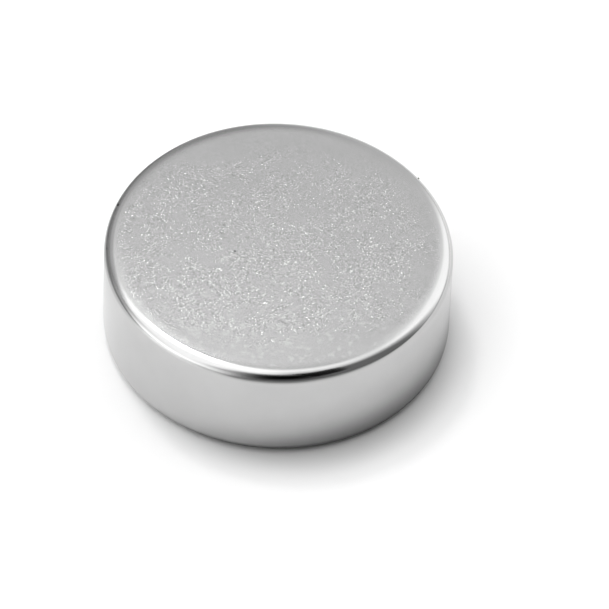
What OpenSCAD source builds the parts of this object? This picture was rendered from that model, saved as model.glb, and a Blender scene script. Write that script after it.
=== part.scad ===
// Disc magnet: one sintered disc, ground flat on both faces, tumbled and plated.
// Each face is flat and ends in a soft shoulder, which runs into the rounded rim and the plain round wall.
// Millimetres. The disc lies on its lower face, with its axis on Z.

/* [Disc] */
// Diameter over the wall
disc_d = 30; // [12:0.5:80]
// Thickness from face to face
disc_h = 10; // [5:0.5:40]

/* [Rim] */
// Radius of the rounding between a face and the wall
rim_r = 1.05; // [0.2:0.05:2]
// Radius of the soft shoulder between the flat of a face and the rounding
shoulder_r = 6.5; // [3:0.1:12]
// Slope of the shoulder where the rounding takes over, in degrees
shoulder_slope = 7.5; // [1:0.5:15]

/* [Hidden] */
// Steps in a full turn
$fn = 180;

wall_r = disc_d / 2;
mid_z = disc_h / 2;

// The two arcs of an edge touch where both have the shoulder's slope, so that point and their centres line up
centres_apart = shoulder_r - rim_r;

// Centres of the two arcs at the upper edge: the rounding touches the wall, the shoulder touches the face
rim_x = wall_r - rim_r;
shoulder_x = rim_x - centres_apart * sin(shoulder_slope);
shoulder_z = disc_h - shoulder_r;
rim_z = shoulder_z + centres_apart * cos(shoulder_slope);

// Distance from the axis at which the rounding takes over from the shoulder
join_x = rim_x + rim_r * sin(shoulder_slope);

// Section of the disc above its middle plane, from the axis to the wall
module upper_section() {
    intersection() {
        translate([0, mid_z])
            square([wall_r, mid_z]);
        // Under the shoulder
        union() {
            square([shoulder_x, disc_h]);
            translate([shoulder_x, shoulder_z])
                circle(shoulder_r);
        }
        // Under the rounding
        union() {
            square([join_x, disc_h]);
            square([wall_r, rim_z]);
            translate([rim_x, rim_z])
                circle(rim_r);
        }
    }
}

// The disc: its lower half mirrors the upper one
module magnet_disc() {
    color("silver")
    rotate_extrude() {
        upper_section();
        translate([0, disc_h])
            mirror([0, 1])
            upper_section();
    }
}

magnet_disc();
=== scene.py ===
"""Disc magnet: the plated disc, the iron dust on it, and the small studio that it lies in."""

import math
import random

import bmesh
import bpy
from bpy.props import FloatProperty, FloatVectorProperty, IntProperty, PointerProperty
from mathutils import Matrix, Quaternion, Vector


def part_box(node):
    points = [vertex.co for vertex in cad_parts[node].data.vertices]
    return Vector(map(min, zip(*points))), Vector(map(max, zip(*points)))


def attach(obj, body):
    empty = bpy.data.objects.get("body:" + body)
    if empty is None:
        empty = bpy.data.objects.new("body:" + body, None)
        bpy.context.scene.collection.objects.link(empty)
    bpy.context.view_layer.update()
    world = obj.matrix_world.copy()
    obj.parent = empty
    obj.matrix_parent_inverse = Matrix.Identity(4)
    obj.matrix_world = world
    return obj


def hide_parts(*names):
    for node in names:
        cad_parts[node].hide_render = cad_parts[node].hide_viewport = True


bl_info = {
    "name": "Disc Magnet",
    "version": (1, 0, 0),
    "blender": (4, 5, 0),
    "location": "3D View > Sidebar > Disc Magnet",
    "description": "Makes a nickel-plated disc magnet and the studio table that it lies on",
    "category": "Object",
}

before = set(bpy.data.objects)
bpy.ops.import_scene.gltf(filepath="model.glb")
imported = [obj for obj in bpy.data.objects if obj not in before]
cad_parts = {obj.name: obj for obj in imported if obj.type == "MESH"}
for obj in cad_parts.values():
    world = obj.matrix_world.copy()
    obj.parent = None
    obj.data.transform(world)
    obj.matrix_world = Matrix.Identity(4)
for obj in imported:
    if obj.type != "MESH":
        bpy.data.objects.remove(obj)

MM = 0.001
DISC_NODE = "magnet_disc"
BODY = "root"


# Sizes and finishes that a user may change


class MagnetShape(bpy.types.PropertyGroup):
    """How the disc's edges are rounded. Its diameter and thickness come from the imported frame"""

    rim_radius: FloatProperty(
        name="Rim radius",
        description="Radius of the rounding between a face and the wall",
        default=1.05 * MM, min=0.2 * MM, max=2 * MM, precision=5, unit="LENGTH",
    )
    shoulder_radius: FloatProperty(
        name="Shoulder radius",
        description="Radius of the soft shoulder between the flat of a face and the rounding",
        default=6.5 * MM, min=3 * MM, max=12 * MM, precision=5, unit="LENGTH",
    )
    shoulder_slope: FloatProperty(
        name="Shoulder slope",
        description="Slope of the shoulder where the rounding takes over",
        default=math.radians(7.5), min=math.radians(1), max=math.radians(15), unit="ROTATION",
    )
    turn_steps: IntProperty(
        name="Steps round",
        description="Flat strips that make up a full turn of the disc",
        default=288, min=24, max=720,
    )


class PlateFinish(bpy.types.PropertyGroup):
    """The bright nickel plate"""

    colour: FloatVectorProperty(
        name="Nickel",
        description="What the plate reflects straight on",
        default=(0.565, 0.565, 0.565), min=0, max=1, size=3, subtype="COLOR",
    )
    face_roughness: FloatProperty(
        name="Face roughness",
        description="How matt the ground faces are",
        default=0.20, min=0, max=1, subtype="FACTOR",
    )
    rim_roughness: FloatProperty(
        name="Rim roughness",
        description="How matt the tumbled rims and the wall are",
        default=0.12, min=0, max=1, subtype="FACTOR",
    )
    grain_size: FloatProperty(
        name="Grain size",
        description="Width of one glinting grain of the faces",
        default=0.12 * MM, min=0.02 * MM, max=1 * MM, precision=5, unit="LENGTH",
    )
    grain_depth: FloatProperty(
        name="Grain depth",
        description="Height of the grain above the flat of a face",
        default=0.014 * MM, min=0, max=0.1 * MM, precision=6, unit="LENGTH",
    )
    patch_size: FloatProperty(
        name="Patch size",
        description="Width of the clusters that the grain lies in",
        default=1.8 * MM, min=0.2 * MM, max=10 * MM, precision=5, unit="LENGTH",
    )


class DustFinish(bpy.types.PropertyGroup):
    """The grains of iron that cling to the disc"""

    colour: FloatVectorProperty(
        name="Iron",
        description="Colour of the grains",
        default=(0.03, 0.03, 0.03), min=0, max=1, size=3, subtype="COLOR",
    )
    roughness: FloatProperty(
        name="Roughness",
        description="How matt the grains are",
        default=0.65, min=0, max=1, subtype="FACTOR",
    )
    lumpiness: FloatProperty(
        name="Lumpiness",
        description="How far the surface of a grain strays from round, as a share of its radius",
        default=0.3, min=0, max=0.6, subtype="FACTOR",
    )


class StudioSetup(bpy.types.PropertyGroup):
    """Where the camera stands"""

    distance: FloatProperty(
        name="Distance",
        description="From the camera to the middle of the disc",
        default=0.6, min=0.1, max=5, unit="LENGTH",
    )
    elevation: FloatProperty(
        name="Elevation",
        description="Height of the camera above the horizon",
        default=math.radians(47.97), min=0, max=math.radians(90), unit="ROTATION",
    )
    roll: FloatProperty(
        name="Roll",
        description="Turn of the camera about its own line of sight",
        default=math.radians(2.19), min=-math.radians(45), max=math.radians(45), unit="ROTATION",
    )
    lens: FloatProperty(
        name="Lens",
        description="Focal length of the camera, in millimetres",
        default=411, min=20, max=1000, unit="CAMERA",
    )
    aim_right: FloatProperty(
        name="Aim right",
        description="How far the camera aims to the right of the disc's middle",
        default=2.335 * MM, precision=5, unit="LENGTH",
    )
    aim_down: FloatProperty(
        name="Aim down",
        description="How far the camera aims below the disc's middle",
        default=1.745 * MM, precision=5, unit="LENGTH",
    )


def direction(azimuth, elevation):
    """Unit vector from the disc: azimuth in degrees from +X towards +Y, elevation from the floor"""
    around, up = math.radians(azimuth), math.radians(elevation)
    return Vector((math.cos(around) * math.cos(up), math.sin(around) * math.cos(up), math.sin(up)))


# Shader tools


def add_node(tree, kind, inputs=(), **settings):
    """A new node with its settings, and each named input linked or given its value"""
    made = tree.nodes.new(kind)
    for name, value in settings.items():
        setattr(made, name, value)
    for name, value in dict(inputs).items():
        if isinstance(value, bpy.types.NodeSocket):
            tree.links.new(value, made.inputs[name])
        else:
            made.inputs[name].default_value = value
    return made


def maths(tree, operation, first, second=0.0, third=0.0):
    made = add_node(tree, "ShaderNodeMath", {0: first, 1: second, 2: third}, operation=operation)
    return made.outputs["Value"]


def product(tree, value, *others):
    """The product of all the values"""
    for other in others:
        value = maths(tree, "MULTIPLY", value, other)
    return value


def vector_maths(tree, operation, *inputs):
    """Arithmetic on vectors that gives a vector"""
    made = add_node(tree, "ShaderNodeVectorMath", dict(enumerate(inputs)), operation=operation)
    return made.outputs["Vector"]


def length(tree, vector):
    return add_node(tree, "ShaderNodeVectorMath", {0: vector}, operation="LENGTH").outputs["Value"]


def along(tree, vector, azimuth):
    """How far the vector reaches towards an azimuth, in degrees"""
    inputs = {0: vector, 1: (*direction(azimuth, 0),)}
    return add_node(tree, "ShaderNodeVectorMath", inputs, operation="DOT_PRODUCT").outputs["Value"]


def tinted(tree, colour, shade):
    """The colour made lighter or darker by the shade"""
    inputs = {0: (*colour,), "Scale": shade}
    return add_node(tree, "ShaderNodeVectorMath", inputs, operation="SCALE").outputs["Vector"]


def remap(tree, value, low, high, to_low=0.0, to_high=1.0):
    """The value eased from one range to another, and held at its ends"""
    made = add_node(
        tree,
        "ShaderNodeMapRange",
        {"Value": value, "From Min": low, "From Max": high, "To Min": to_low, "To Max": to_high},
        interpolation_type="SMOOTHSTEP",
    )
    return made.outputs["Result"]


def noise(tree, vector, size, detail=2.0, roughness=0.5):
    """Noise whose blotches are about as wide as the size"""
    scale = maths(tree, "DIVIDE", 1.0, size)
    inputs = {"Vector": vector, "Scale": scale, "Detail": detail, "Roughness": roughness}
    return add_node(tree, "ShaderNodeTexNoise", inputs).outputs["Fac"]


def object_place(tree):
    """Where a point of the surface lies, in metres from the origin"""
    return add_node(tree, "ShaderNodeTexCoord").outputs["Object"]


def new_group(name, inputs, outputs):
    """An empty node group with its sockets, what it is given, and what it gives"""
    group = bpy.data.node_groups.new(name, "ShaderNodeTree")
    for label, kind, default in inputs:
        socket = group.interface.new_socket(name=label, in_out="INPUT", socket_type=kind)
        if default is not None:
            socket.default_value = default
    for label in outputs:
        group.interface.new_socket(name=label, in_out="OUTPUT", socket_type="NodeSocketFloat")
    return group, group.nodes.new("NodeGroupInput").outputs, group.nodes.new("NodeGroupOutput").inputs


def use_group(tree, group, inputs):
    """The outputs of a group that is placed in the tree"""
    return add_node(tree, "ShaderNodeGroup", inputs, node_tree=group).outputs


def new_material(name):
    """A material with an empty tree, and that tree"""
    material = bpy.data.materials.new(name)
    material.use_nodes = True
    material.node_tree.nodes.clear()
    return material, material.node_tree


def set_surface(tree, shader):
    add_node(tree, "ShaderNodeOutputMaterial", {"Surface": shader.outputs[0]})


# Effects

# The border of the grain on a face: how far it strays to either side, and where the grain starts to thin out
# and ends, as shares of its reach
BORDER_STRAY = 0.3
BORDER_START, BORDER_END = 0.85, 1.10
# Width of the notches in that border, in widths of the face's fade
BORDER_NOTCH = 3.0


def face_zone_group():
    """Where a face and its grain lie. Grainy is 1 inside the grain's ragged border. Face is 1 on the faces,
    and 0 on the rims and the wall"""
    group, given, gives = new_group(
        "Face Zone",
        [
            ("Vector", "NodeSocketVector", None),
            ("Middle", "NodeSocketVector", None),
            ("Reach", "NodeSocketVector", None),
            ("Radius", "NodeSocketFloat", 0.013),
            ("Fade", "NodeSocketFloat", 0.001),
        ],
        ["Grainy", "Face"],
    )
    vector, middle, reach, radius, fade = (
        given[name] for name in ("Vector", "Middle", "Reach", "Radius", "Fade")
    )
    aside = vector_maths(group, "SUBTRACT", vector, middle)
    from_middle = length(group, vector_maths(group, "DIVIDE", aside, reach))
    notch = maths(group, "MULTIPLY", fade, BORDER_NOTCH)
    ragged = noise(group, vector, notch, detail=4.0, roughness=0.6)
    ragged = maths(group, "MULTIPLY_ADD", ragged, 2 * BORDER_STRAY, -BORDER_STRAY)
    from_middle = maths(group, "ADD", from_middle, ragged)
    inside = remap(group, from_middle, BORDER_START, BORDER_END, 1.0, 0.0)

    from_axis = length(group, vector_maths(group, "MULTIPLY", vector, (1, 1, 0)))
    on_face = remap(group, from_axis, radius, maths(group, "ADD", radius, fade), 1.0, 0.0)
    group.links.new(product(group, inside, on_face), gives["Grainy"])
    group.links.new(on_face, gives["Face"])
    return group


# Where the grain lies: the noise levels at which it starts to thicken and is dense, and the share of it in
# the gaps, first for the clusters and then for the tufts in them. A tuft's width is a share of a cluster's
CLUSTERS = (0.38, 0.56, 0.15)
TUFTS = (0.40, 0.62, 0.35)
TUFT_WIDTH = 0.2
# The mottle round the flecks: the noise levels at which it is dark and pale, and the level of the bare ground
MOTTLE_LEVELS = (0.40, 0.76)
MOTTLE_GROUND = 0.25
# Cells that a grain's width holds, and how far and how closely they are pushed out of line, in grain widths
CELLS = 0.85
PUSH, PUSH_SCALE = 0.4, 0.7
# Flecks, bumps that carry a painted glint: how the share of cells that shine grows with the density, and its
# most. Then their least radius, its spread, and the widths of the glint's bright core and of its dark edge of
# painted shade, in cells
SHINING, MOST_SHINING = 1.9, 0.85
FLECK_SIZE, FLECK_SPREAD = 0.22, 0.35
FLECK_CORE, FLECK_EDGE = 0.05, 0.25
# What each adds to the plate's shade and to its height. The flecks add painted glints, and their edges
# painted shade
GROUND_SHADE, MOTTLE_SHADE, PAINTED_GLINT_SHADE, PAINTED_EDGE_SHADE = 0.98, 0.84, 1.50, -0.25
MOTTLE_HEIGHT, FLECK_HEIGHT = 0.3, 0.8


def grain_and_painted_glints_group():
    """Grain in clusters on a smooth ground: bright flecks with dark edges, which are painted glints with
    painted shade round them, a mottle round them, and relief
    """
    group, given, gives = new_group(
        "Clustered Grain And Painted Glints",
        [
            ("Vector", "NodeSocketVector", None),
            ("Grain", "NodeSocketFloat", 0.0001),
            ("Patch", "NodeSocketFloat", 0.002),
        ],
        ["Shade", "Height"],
    )
    vector, grain, patch = (given[name] for name in ("Vector", "Grain", "Patch"))
    cluster = remap(group, noise(group, vector, patch, detail=4.0, roughness=0.6), *CLUSTERS, 1.0)
    tuft = remap(group, noise(group, vector, maths(group, "MULTIPLY", patch, TUFT_WIDTH)), *TUFTS, 1.0)
    density = product(group, cluster, tuft)
    pale = remap(group, noise(group, vector, grain, roughness=0.6), *MOTTLE_LEVELS)
    mottle = product(group, maths(group, "SUBTRACT", pale, MOTTLE_GROUND), density)

    push = add_node(
        group,
        "ShaderNodeTexNoise",
        {"Vector": vector, "Scale": maths(group, "DIVIDE", PUSH_SCALE, grain), "Detail": 1.0},
    ).outputs["Color"]
    push = vector_maths(group, "SUBTRACT", push, (0.5, 0.5, 0.5))
    pushed = vector_maths(group, "MULTIPLY_ADD", push, maths(group, "MULTIPLY", grain, PUSH), vector)
    cells = add_node(
        group,
        "ShaderNodeTexVoronoi",
        {"Vector": pushed, "Scale": maths(group, "DIVIDE", CELLS, grain), "Randomness": 1.0},
        feature="F1",
    ).outputs
    lots = add_node(group, "ShaderNodeSeparateColor", {"Color": cells["Color"]}).outputs
    share = maths(group, "MINIMUM", maths(group, "MULTIPLY", density, SHINING), MOST_SHINING)
    lit = remap(group, lots["Red"], maths(group, "SUBTRACT", 1.0, share), 1.0)
    size = maths(group, "MULTIPLY_ADD", lots["Green"], FLECK_SPREAD, FLECK_SIZE)
    # The fleck's bright core: a painted glint, and also the bump of the grain
    fleck_with_painted_glint = product(group, remap(group, cells["Distance"], FLECK_CORE, size, 1.0, 0.0), lit)
    # Its dark edge: painted shade round the glint
    edge = remap(group, cells["Distance"], size, maths(group, "ADD", size, FLECK_EDGE), 1.0, 0.0)

    # The shade: the ground, the mottle, the painted glints and the painted shade of their edges
    shade = maths(group, "MULTIPLY_ADD", mottle, MOTTLE_SHADE, GROUND_SHADE)
    shade = maths(group, "MULTIPLY_ADD", fleck_with_painted_glint, PAINTED_GLINT_SHADE, shade)
    shade = maths(group, "MULTIPLY_ADD", product(group, edge, lit), PAINTED_EDGE_SHADE, shade)
    group.links.new(shade, gives["Shade"])
    height = maths(group, "MULTIPLY", mottle, MOTTLE_HEIGHT)
    group.links.new(maths(group, "MULTIPLY_ADD", fleck_with_painted_glint, FLECK_HEIGHT, height), gives["Height"])
    return group


# Finishes

# The grain of a face, with its painted glints: the middle of its patch and how far it reaches from there, as
# an oval
GRAIN_MIDDLE = (-0.9 * MM, 0.1 * MM, 0)
GRAIN_REACH = (14.5 * MM, 11.4 * MM, 1)
# How far the satin of a face runs past its flat, and over what width it ends
SATIN_PAST_FLAT = 0.4 * MM
SATIN_FADE = 0.5 * MM
# How strongly the grain's relief and its painted glints show at the front of the disc, in its middle and
# behind, and where along the disc it weakens from each to the next
FRONT_GRAIN, MIDDLE_GRAIN, BACK_GRAIN = 1.0, 0.82, 0.68
FRONT_TO_MIDDLE = (-9 * MM, -3 * MM)
MIDDLE_TO_BACK = (0, 11 * MM)
# Shade of a face without grain
BARE_SHADE = 0.97
# Clouding of a face: its size, the noise levels at which it is dark and pale, and its shades there
CLOUD_SIZE = 3 * MM
CLOUD_LEVELS = (0.3, 0.7)
CLOUD_SHADES = (0.985, 1.015)
# Pale blotches: their size, the noise levels at which they start and are full, where along the disc they
# fade, and how pale they are in front of that and behind it. They are a random tone, and their greater
# paleness in front is a painted sheen
BLOTCH_SIZE = 0.6 * MM
BLOTCH_LEVELS = (0.48, 0.72)
BLOTCH_FADE = (-12 * MM, 0)
BLOTCH_SHADES = (0.12, 0.02)
# Scuffs on the iron: their size, the noise levels at which it is dark and scuffed, and its shades there
SCUFF_SIZE = 0.06 * MM
SCUFF_LEVELS = (0.4, 0.7)
SCUFF_SHADES = (0.6, 2.5)


def nickel_plate(finish, flat_radius, face_zone, grain):
    """Bright nickel: mirror-like on the rims and the wall, and a fine satin grain with painted glints on the
    faces
    """
    material, tree = new_material("nickel_plate")
    place = object_place(tree)
    zones = use_group(
        tree,
        face_zone,
        {
            "Vector": place,
            "Middle": GRAIN_MIDDLE,
            "Reach": GRAIN_REACH,
            "Radius": flat_radius + SATIN_PAST_FLAT,
            "Fade": SATIN_FADE,
        },
    )
    grain_and_glints = use_group(
        tree, grain, {"Vector": place, "Grain": finish.grain_size, "Patch": finish.patch_size}
    )
    backwards = add_node(tree, "ShaderNodeSeparateXYZ", {"Vector": place}).outputs["Y"]
    # The grain's relief and its painted glints weaken from the front to the back
    behind = remap(tree, backwards, *MIDDLE_TO_BACK, MIDDLE_GRAIN, BACK_GRAIN)
    strength = remap(tree, backwards, *FRONT_TO_MIDDLE, FRONT_GRAIN, behind)
    strength = product(tree, zones["Grainy"], strength)
    height = product(tree, grain_and_glints["Height"], strength)
    bump = add_node(
        tree, "ShaderNodeBump", {"Height": height, "Strength": 1.0, "Distance": finish.grain_depth}
    )
    roughness = remap(tree, zones["Face"], 0.0, 1.0, finish.rim_roughness, finish.face_roughness)

    cloud = noise(tree, place, CLOUD_SIZE, detail=3.0, roughness=0.6)
    cloud = remap(tree, cloud, *CLOUD_LEVELS, *CLOUD_SHADES)
    # Pale blotches of random tone, paler in front as a painted sheen
    blotch = remap(tree, noise(tree, place, BLOTCH_SIZE, roughness=0.6), *BLOTCH_LEVELS)
    paleness = remap(tree, backwards, *BLOTCH_FADE, *BLOTCH_SHADES)
    blotch = product(tree, blotch, paleness, zones["Face"])
    # Mixes the bare shade with the grain's mottle, painted glints and painted shade, by the grain's strength
    grainy = add_node(
        tree, "ShaderNodeMix", {"Factor": strength, "A": BARE_SHADE, "B": grain_and_glints["Shade"]}
    ).outputs["Result"]
    shade = product(tree, maths(tree, "ADD", cloud, blotch), grainy)
    shader = add_node(
        tree,
        "ShaderNodeBsdfPrincipled",
        {
            "Base Color": tinted(tree, finish.colour, shade),
            "Metallic": 1.0,
            "Roughness": roughness,
            "Normal": bump.outputs["Normal"],
        },
    )
    set_surface(tree, shader)
    return material


def iron_dust(finish):
    """Dark iron with paler scuffs"""
    material, tree = new_material("iron_dust")
    scuff = remap(tree, noise(tree, object_place(tree), SCUFF_SIZE), *SCUFF_LEVELS, *SCUFF_SHADES)
    colour = tinted(tree, finish.colour, scuff)
    shader = add_node(
        tree,
        "ShaderNodeBsdfPrincipled",
        {"Base Color": colour, "Metallic": 0.5, "Roughness": finish.roughness},
    )
    set_surface(tree, shader)
    return material


# Modelling tools


def draw_line(bm, tip, to):
    """Carries the outline on from its tip in a straight line"""
    made = bmesh.ops.extrude_vert_indiv(bm, verts=[tip])["verts"][0]
    made.co = to
    return made


def draw_arc(bm, tip, centre, angle, steps):
    """Carries the outline on from its tip round a centre, about the Y axis"""
    made = bmesh.ops.spin(
        bm, geom=[tip], cent=centre, axis=(0, 1, 0), dvec=(0, 0, 0), angle=angle, steps=steps, use_merge=False
    )["geom_last"]
    return next(part for part in made if isinstance(part, bmesh.types.BMVert))


def sort_faces(bm):
    """Puts the faces in one order every time, which merging doubles leaves to chance"""
    bm.verts.index_update()
    past_any_sum = 4 * len(bm.verts)

    def rank(face):
        corners = [vert.index for vert in face.verts]
        return min(corners) * past_any_sum + sum(corners)

    bm.faces.sort(key=rank)


def finished_piece(name, bm, material):
    """The mesh as a smooth object of the scene, standing at the origin"""
    mesh = bpy.data.meshes.new(name)
    bm.to_mesh(mesh)
    bm.free()
    mesh.shade_smooth()
    mesh.materials.append(material)
    piece = bpy.data.objects.new(name, mesh)
    bpy.context.scene.collection.objects.link(piece)
    return piece


# The disc

# Steps of the shoulder and of the rounding, and the width of the strips that keep the flats evenly shaded
SHOULDER_STEPS = 8
RIM_STEPS = 28
GUARD = 0.04 * MM


def disc_measures(shape):
    """The frame's radius and top, with the arcs of the edge that fit in them"""
    low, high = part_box(DISC_NODE)
    wall_radius = (high.x - low.x) / 2
    lean = math.sin(shape.shoulder_slope)
    apart = shape.shoulder_radius - shape.rim_radius
    rim_x = wall_radius - shape.rim_radius
    flat_radius = rim_x - apart * lean
    shoulder_z = high.z - shape.shoulder_radius
    rim_z = shoulder_z + apart * math.cos(shape.shoulder_slope)
    return {
        "wall_radius": wall_radius,
        "top": high.z,
        "middle": (low.z + high.z) / 2,
        "flat_radius": flat_radius,
        "shoulder_centre": Vector((flat_radius, 0, shoulder_z)),
        "rim_centre": Vector((rim_x, 0, rim_z)),
    }


def disc_mesh(shape, at):
    """The outline of the upper half, mirrored, and turned about the axis"""
    bm = bmesh.new()
    tip = bm.verts.new((0, 0, at["top"]))
    tip = draw_line(bm, tip, (at["flat_radius"] - GUARD, 0, at["top"]))
    tip = draw_line(bm, tip, (at["flat_radius"], 0, at["top"]))
    tip = draw_arc(bm, tip, at["shoulder_centre"], shape.shoulder_slope, SHOULDER_STEPS)
    tip = draw_arc(bm, tip, at["rim_centre"], math.pi / 2 - shape.shoulder_slope, RIM_STEPS)
    tip = draw_line(bm, tip, (at["wall_radius"], 0, at["rim_centre"].z - GUARD))
    draw_line(bm, tip, (at["wall_radius"], 0, at["middle"]))

    outline = bm.verts[:] + bm.edges[:]
    plane = Matrix.Translation((0, 0, -at["middle"]))
    bmesh.ops.mirror(bm, geom=outline, matrix=plane, merge_dist=GUARD / 10, axis="Z")
    bmesh.ops.spin(
        bm, geom=bm.verts[:] + bm.edges[:], cent=(0, 0, 0), axis=(0, 0, 1), dvec=(0, 0, 0),
        angle=2 * math.pi, steps=shape.turn_steps, use_merge=True,
    )
    bmesh.ops.remove_doubles(bm, verts=bm.verts[:], dist=GUARD / 1000)
    bmesh.ops.recalc_face_normals(bm, faces=bm.faces[:])
    sort_faces(bm)
    return bm


class MAGNET_OT_disc(bpy.types.Operator):
    """Makes the plated disc in the place of the frame's plain one"""

    bl_idname = "magnet.disc"
    bl_label = "Make Disc"

    def execute(self, context):
        scene = context.scene
        at = disc_measures(scene.magnet_shape)
        plate = nickel_plate(scene.magnet_plate, at["flat_radius"], face_zone_group(), grain_and_painted_glints_group())
        piece = finished_piece("plated_disc", disc_mesh(scene.magnet_shape, at), plate)
        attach(piece, BODY)
        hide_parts(DISC_NODE)
        return {"FINISHED"}


# The iron dust

# Grains of iron: name, azimuth in degrees, distance from the axis and width
DUST = (
    ("iron_grain_back", 163, 14.62 * MM, 0.26 * MM),
    ("iron_grain_right", 37, 14.86 * MM, 0.22 * MM),
    ("iron_grain_face", 193, 3.85 * MM, 0.17 * MM),
    ("iron_grain_left", 183, 14.74 * MM, 0.14 * MM),
)
DUST_SEED = 5
# Length, width and height of a grain, as shares of its size
DUST_SHAPE = (1, 0.8, 0.7)


def height_at(shape, at, from_axis):
    """Height of the disc's upper side at a distance from its axis"""
    if from_axis <= at["flat_radius"]:
        return at["top"]
    centre, radius = at["rim_centre"], shape.rim_radius
    if from_axis <= centre.x + radius * math.sin(shape.shoulder_slope):
        centre, radius = at["shoulder_centre"], shape.shoulder_radius
    return centre.z + math.sqrt(radius**2 - (from_axis - centre.x) ** 2)


def grain_mesh(place, width, lumpiness, luck):
    """A knocked-about ball, flatter than it is wide, with its middle at the place"""
    bm = bmesh.new()
    bmesh.ops.create_icosphere(bm, subdivisions=2, radius=width / 2)
    for vert in bm.verts:
        vert.co *= 1 + lumpiness * luck.uniform(-1, 1)
    bmesh.ops.scale(bm, vec=DUST_SHAPE, verts=bm.verts[:])
    bmesh.ops.rotate(bm, matrix=Matrix.Rotation(luck.uniform(0, math.pi), 3, "Z"), verts=bm.verts[:])
    bmesh.ops.translate(bm, vec=place, verts=bm.verts[:])
    bmesh.ops.recalc_face_normals(bm, faces=bm.faces[:])
    return bm


class MAGNET_OT_dust(bpy.types.Operator):
    """Makes the few grains of iron that cling to the disc"""

    bl_idname = "magnet.dust"
    bl_label = "Make Iron Dust"

    def execute(self, context):
        scene = context.scene
        at = disc_measures(scene.magnet_shape)
        iron = iron_dust(scene.magnet_dust)
        luck = random.Random(DUST_SEED)
        for name, azimuth, from_axis, width in DUST:
            height = height_at(scene.magnet_shape, at, from_axis)
            place = direction(azimuth, 0) * from_axis + Vector((0, 0, height))
            piece = finished_piece(name, grain_mesh(place, width, scene.magnet_dust.lumpiness, luck), iron)
            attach(piece, BODY)
        return {"FINISHED"}


# The studio

# Soft panels: name, azimuth and elevation seen from the disc, distance, width, height, brightness and feather
PANELS = (
    ("panel_key", 121.9, 66.2, 0.550, 0.101, 0.100, 21.08, 0.50),
    ("panel_over", 74.9, 85.4, 0.600, 1.200, 0.556, 0.81, 0.98),
    ("panel_high", 193.3, 58.5, 0.700, 1.200, 1.047, 1.03, 0.53),
    ("panel_left", 210.1, 5.0, 0.700, 1.200, 0.912, 1.16, 0.75),
    ("panel_right", 38.5, 34.2, 0.800, 0.969, 1.200, 0.81, 0.58),
    ("panel_back", 133.1, 38.5, 0.700, 0.860, 0.665, 0.43, 0.74),
    ("panel_near", 103.9, 58.4, 0.118, 0.091, 0.040, 0.40, 0.95),
    ("panel_low", 213, 14, 0.036, 0.034, 0.018, 0.60, 0.90),
)
# Black gauze, with the part of the light that it holds back in place of a brightness
GAUZES = (
    ("gauze_front", 275.6, 33.5, 0.500, 0.601, 0.740, 1.00, 0.84),
    ("gauze_side", 301.6, 42.0, 0.500, 0.195, 0.457, 0.87, 0.31),
    ("gauze_back", 124.7, 15.9, 0.550, 0.930, 0.698, 0.39, 0.41),
)
# The fill: its level at the horizon and overhead, how high up it has that, and what it gains on the right
FILL_LEVELS = (0.73, 0.76)
FILL_HEIGHTS = (0.0, 0.87)
FILL_GAIN = 0.17
# The side where the fill is dark, as an azimuth in degrees, how far towards it that starts and is full, and
# what is left there
CAMERA_SIDE = 307
ROOM_EDGE = (0.40, 0.73)
DARK_ROOM = 0.24

# The white that the camera sees the paper in, and the round floor's radius and edges
PAPER_WHITE = 0.95
FLOOR_RADIUS = 4.0
FLOOR_EDGES = 64
# The painted contact shadow at the disc's foot, a little to one side of it: that side, how far, where the
# painted shadow is darkest and ends, and its depth in the metal and for the camera
PAINTED_SHADOW_SIDE = 300
PAINTED_SHADOW_SHIFT = 3 * MM
PAINTED_SHADOW_RANGE = (12 * MM, 15.6 * MM)
MIRRORED_PAINTED_SHADOW, SEEN_PAINTED_SHADOW = 0.22, 0.65
# Azimuths in degrees along which the painted shade and light of the mirrored paper change
RIGHT_SIDE = 20
FRONT_SIDE = 282
BACK_SIDE = 125
SLANT_SIDE = 158
# Its changes, along one side or outwards: where each starts and is full, and the tones there. Where only the
# first two are given, the tone starts as 1, and the second line gives how it ends from one side to another
BESIDE_DISC = (-18 * MM, -3 * MM, 0.925, 0.89)
FAR_LEFT = (-74 * MM, -34 * MM, 1.25, 1.0)
FAR_OFF = (50 * MM, 190 * MM, 1.0, 0.62)
FAR_RIGHT = (34 * MM, 70 * MM)
FAR_RIGHT_END = (-60 * MM, 0.0, 0.85, 1.24)
IN_FRONT = (18 * MM, 58 * MM)
IN_FRONT_END = (-4 * MM, 20 * MM, 0.38, 0.80)
BEHIND = (18 * MM, 44 * MM)
BEHIND_END = (0.0, 20 * MM, 0.34, 0.9)
CLOSE_BEHIND = (9 * MM, 17 * MM)
CLOSE_BEHIND_END = (0.0, 20 * MM, 0.80, 1.0)
# Sides where the mirrored paper is painted dimmer or brighter: azimuth, the distances at which that starts
# and is full, the factor, and the slopes to either side up to which it is full and past which it is gone
TONED_SIDES = (
    (268, 20 * MM, 42 * MM, 0.70, 0.15, 0.50),
    (46, 60 * MM, 120 * MM, 1.40, 0.10, 0.40),
    (100, 26 * MM, 60 * MM, 0.80, 0.05, 0.22),
)


def camera_ray(tree):
    return add_node(tree, "ShaderNodeLightPath").outputs["Is Camera Ray"]


def feathered(tree, middle, feather):
    """The value at a panel's middle, fading to nothing at its edges"""
    place = add_node(tree, "ShaderNodeTexCoord").outputs["UV"]
    split = add_node(tree, "ShaderNodeSeparateXYZ", {"Vector": place})
    value = middle
    for side in ("X", "Y"):
        from_middle = maths(tree, "ABSOLUTE", maths(tree, "MULTIPLY_ADD", split.outputs[side], 2.0, -1.0))
        value = product(tree, remap(tree, from_middle, 1.0 - feather, 1.0, 1.0, 0.0), value)
    return value


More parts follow.
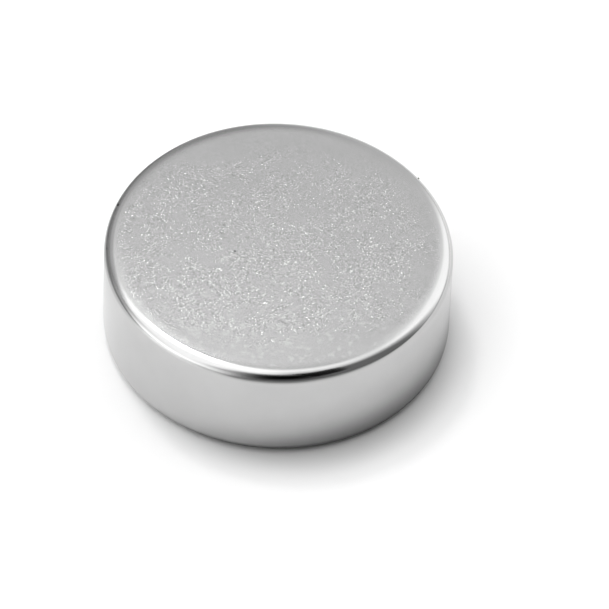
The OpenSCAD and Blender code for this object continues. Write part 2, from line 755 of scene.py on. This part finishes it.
def seen_through(tree, shader):
    """Gives the material this shader, and lets the camera look straight through it"""
    clear = add_node(tree, "ShaderNodeBsdfTransparent")
    inputs = {0: camera_ray(tree), 1: shader.outputs[0], 2: clear.outputs[0]}
    set_surface(tree, add_node(tree, "ShaderNodeMixShader", inputs))


def panel_material(name, brightness, feather):
    """Light that adds to what is behind it"""
    material, tree = new_material(name)
    glow = add_node(tree, "ShaderNodeEmission", {"Strength": feathered(tree, brightness, feather)})
    behind = add_node(tree, "ShaderNodeBsdfTransparent")
    seen_through(tree, add_node(tree, "ShaderNodeAddShader", {0: glow.outputs[0], 1: behind.outputs[0]}))
    return material


def gauze_material(name, held_back, feather):
    """Black gauze that darkens what is behind it"""
    material, tree = new_material(name)
    passed = maths(tree, "SUBTRACT", 1.0, feathered(tree, held_back, feather))
    seen_through(tree, add_node(tree, "ShaderNodeBsdfTransparent", {"Color": passed}))
    return material


def stage_panel(name, azimuth, elevation, distance, width, height, material):
    """A flat panel that faces the disc"""
    towards = direction(azimuth, elevation)
    bm = bmesh.new()
    bm.loops.layers.uv.new("UVMap")
    bmesh.ops.create_grid(bm, x_segments=1, y_segments=1, size=0.5, calc_uvs=True)
    turn = towards.to_track_quat("Z", "Y").to_matrix().to_4x4()
    place = Matrix.Translation(towards * distance) @ turn @ Matrix.Diagonal((width, height, 1, 1))
    bmesh.ops.transform(bm, matrix=place, verts=bm.verts[:])
    finished_piece(name, bm, material)


def toned_side(tree, place, side, start, full, factor, narrow, wide):
    """1, easing to the factor on one side of the disc"""
    ahead, across = along(tree, place, side), along(tree, place, side + 90)
    slope = maths(tree, "DIVIDE", maths(tree, "ABSOLUTE", across), ahead)
    return remap(tree, ahead, start, full, 1.0, remap(tree, slope, narrow, wide, factor, 1.0))


def mirrored_paper(tree, place):
    """How bright the metal sees the paper, as painted shade and painted light on it. It is brightest round
    the disc.
    It falls off towards the camera's side, behind on the left and far off, and gains a little at the left and
    the right"""
    rightwards, frontwards, backwards, aslant = (
        along(tree, place, side) for side in (RIGHT_SIDE, FRONT_SIDE, BACK_SIDE, SLANT_SIDE)
    )
    return product(
        tree,
        remap(tree, rightwards, *BESIDE_DISC),
        remap(tree, rightwards, *FAR_LEFT),
        remap(tree, length(tree, place), *FAR_OFF),
        remap(tree, rightwards, *FAR_RIGHT, 1.0, remap(tree, backwards, *FAR_RIGHT_END)),
        remap(tree, frontwards, *IN_FRONT, 1.0, remap(tree, aslant, *IN_FRONT_END)),
        remap(tree, backwards, *BEHIND, 1.0, remap(tree, rightwards, *BEHIND_END)),
        remap(tree, backwards, *CLOSE_BEHIND, 1.0, remap(tree, rightwards, *CLOSE_BEHIND_END)),
        *(toned_side(tree, place, *toned) for toned in TONED_SIDES),
    )


def paper_material():
    """White paper with a painted contact shadow at the disc's foot. The camera sees it white all round with a
    faint painted shadow, and the metal mirrors it with painted tones of its own and the painted shadow at its
    full depth"""
    material, tree = new_material("white_paper")
    place = object_place(tree)
    shift = direction(PAINTED_SHADOW_SIDE, 0) * PAINTED_SHADOW_SHIFT
    from_painted_shadow = length(tree, vector_maths(tree, "SUBTRACT", place, (*shift,)))
    # Painted contact shadow: at full depth where the metal mirrors the paper, and faint for the camera
    mirrored = remap(tree, from_painted_shadow, *PAINTED_SHADOW_RANGE, MIRRORED_PAINTED_SHADOW, 1.0)
    seen = remap(tree, from_painted_shadow, *PAINTED_SHADOW_RANGE, SEEN_PAINTED_SHADOW, 1.0)
    tone = add_node(
        tree,
        "ShaderNodeMix",
        {
            "Factor": add_node(tree, "ShaderNodeLightPath").outputs["Is Glossy Ray"],
            "A": maths(tree, "MULTIPLY", seen, PAPER_WHITE),
            "B": product(tree, mirrored_paper(tree, place), mirrored),
        },
    )
    set_surface(tree, add_node(tree, "ShaderNodeBsdfDiffuse", {"Color": tone.outputs["Result"]}))
    return material


def studio_world():
    """Fill from all round, brighter above and on the right, and dark on the camera's side. The camera sees
    plain white"""
    world = bpy.data.worlds.new("studio")
    world.use_nodes = True
    tree = world.node_tree
    tree.nodes.clear()
    ray = add_node(tree, "ShaderNodeTexCoord").outputs["Generated"]
    split = add_node(tree, "ShaderNodeSeparateXYZ", {"Vector": ray})
    room = remap(tree, along(tree, ray, CAMERA_SIDE), *ROOM_EDGE, 1.0, DARK_ROOM)
    level = remap(tree, split.outputs["Z"], *FILL_HEIGHTS, *FILL_LEVELS)
    level = maths(tree, "MULTIPLY_ADD", split.outputs["X"], FILL_GAIN, level)
    fill = add_node(
        tree, "ShaderNodeBackground", {"Color": (1, 1, 1, 1), "Strength": product(tree, level, room)}
    )
    white = add_node(tree, "ShaderNodeBackground", {"Color": (1, 1, 1, 1), "Strength": 1.0})
    inputs = {0: camera_ray(tree), 1: fill.outputs[0], 2: white.outputs[0]}
    mix = add_node(tree, "ShaderNodeMixShader", inputs)
    add_node(tree, "ShaderNodeOutputWorld", {"Surface": mix.outputs[0]})
    return world


def studio_camera(setup, middle):
    """The camera, turned towards the disc's middle, rolled, and aimed a little to its side"""
    back = Vector((0, -math.cos(setup.elevation), math.sin(setup.elevation)))
    turn = back.to_track_quat("Z", "Y") @ Quaternion((0, 0, 1), setup.roll)
    turn @= Quaternion((0, 1, 0), -math.atan2(setup.aim_right, setup.distance))
    turn @= Quaternion((1, 0, 0), -math.atan2(setup.aim_down, setup.distance))
    data = bpy.data.cameras.new("camera")
    data.lens = setup.lens
    data.clip_start = setup.distance / 10
    data.clip_end = setup.distance * 20
    camera = bpy.data.objects.new("camera", data)
    camera.matrix_world = Matrix.LocRotScale(middle + back * setup.distance, turn, None)
    bpy.context.scene.collection.objects.link(camera)
    return camera


class MAGNET_OT_studio(bpy.types.Operator):
    """Sets the camera, the paper floor, the light panels and the fill round the disc"""

    bl_idname = "magnet.studio"
    bl_label = "Set Studio"

    def execute(self, context):
        scene = context.scene
        low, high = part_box(DISC_NODE)
        scene.camera = studio_camera(scene.magnet_studio, (low + high) / 2)
        scene.world = studio_world()
        scene.view_settings.view_transform = "Standard"

        bm = bmesh.new()
        bmesh.ops.create_circle(bm, cap_ends=True, segments=FLOOR_EDGES, radius=FLOOR_RADIUS)
        bmesh.ops.translate(bm, vec=(0, 0, low.z), verts=bm.verts[:])
        floor = finished_piece("paper_floor", bm, paper_material())

        for name, *place, brightness, feather in PANELS:
            stage_panel(name, *place, panel_material(name, brightness, feather))
        for name, *place, held_back, feather in GAUZES:
            stage_panel(name, *place, gauze_material(name, held_back, feather))
        return {"FINISHED"}


# The sidebar


class MAGNET_PT_sidebar(bpy.types.Panel):
    """Lists the sizes and finishes, with a button for each step"""

    bl_idname = "MAGNET_PT_sidebar"
    bl_label = "Disc Magnet"
    bl_space_type = "VIEW_3D"
    bl_region_type = "UI"
    bl_category = "Disc Magnet"

    def draw(self, context):
        layout = self.layout
        for settings, steps in (
            (context.scene.magnet_shape, ()),
            (context.scene.magnet_plate, (MAGNET_OT_disc,)),
            (context.scene.magnet_dust, (MAGNET_OT_dust,)),
            (context.scene.magnet_studio, (MAGNET_OT_studio,)),
        ):
            column = layout.column(align=True)
            for name in settings.bl_rna.properties.keys():
                if name not in ("rna_type", "name"):
                    column.prop(settings, name)
            for step in steps:
                column.operator(step.bl_idname)


CLASSES = (
    MagnetShape,
    PlateFinish,
    DustFinish,
    StudioSetup,
    MAGNET_OT_disc,
    MAGNET_OT_dust,
    MAGNET_OT_studio,
    MAGNET_PT_sidebar,
)


def register():
    for item in CLASSES:
        bpy.utils.register_class(item)
    bpy.types.Scene.magnet_shape = PointerProperty(type=MagnetShape)
    bpy.types.Scene.magnet_plate = PointerProperty(type=PlateFinish)
    bpy.types.Scene.magnet_dust = PointerProperty(type=DustFinish)
    bpy.types.Scene.magnet_studio = PointerProperty(type=StudioSetup)


def unregister():
    del bpy.types.Scene.magnet_studio
    del bpy.types.Scene.magnet_dust
    del bpy.types.Scene.magnet_plate
    del bpy.types.Scene.magnet_shape
    for item in reversed(CLASSES):
        bpy.utils.unregister_class(item)


def main():
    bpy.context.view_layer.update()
    register()
    bpy.ops.magnet.disc()
    bpy.ops.magnet.dust()
    bpy.ops.magnet.studio()


if __name__ == "__main__":
    main()
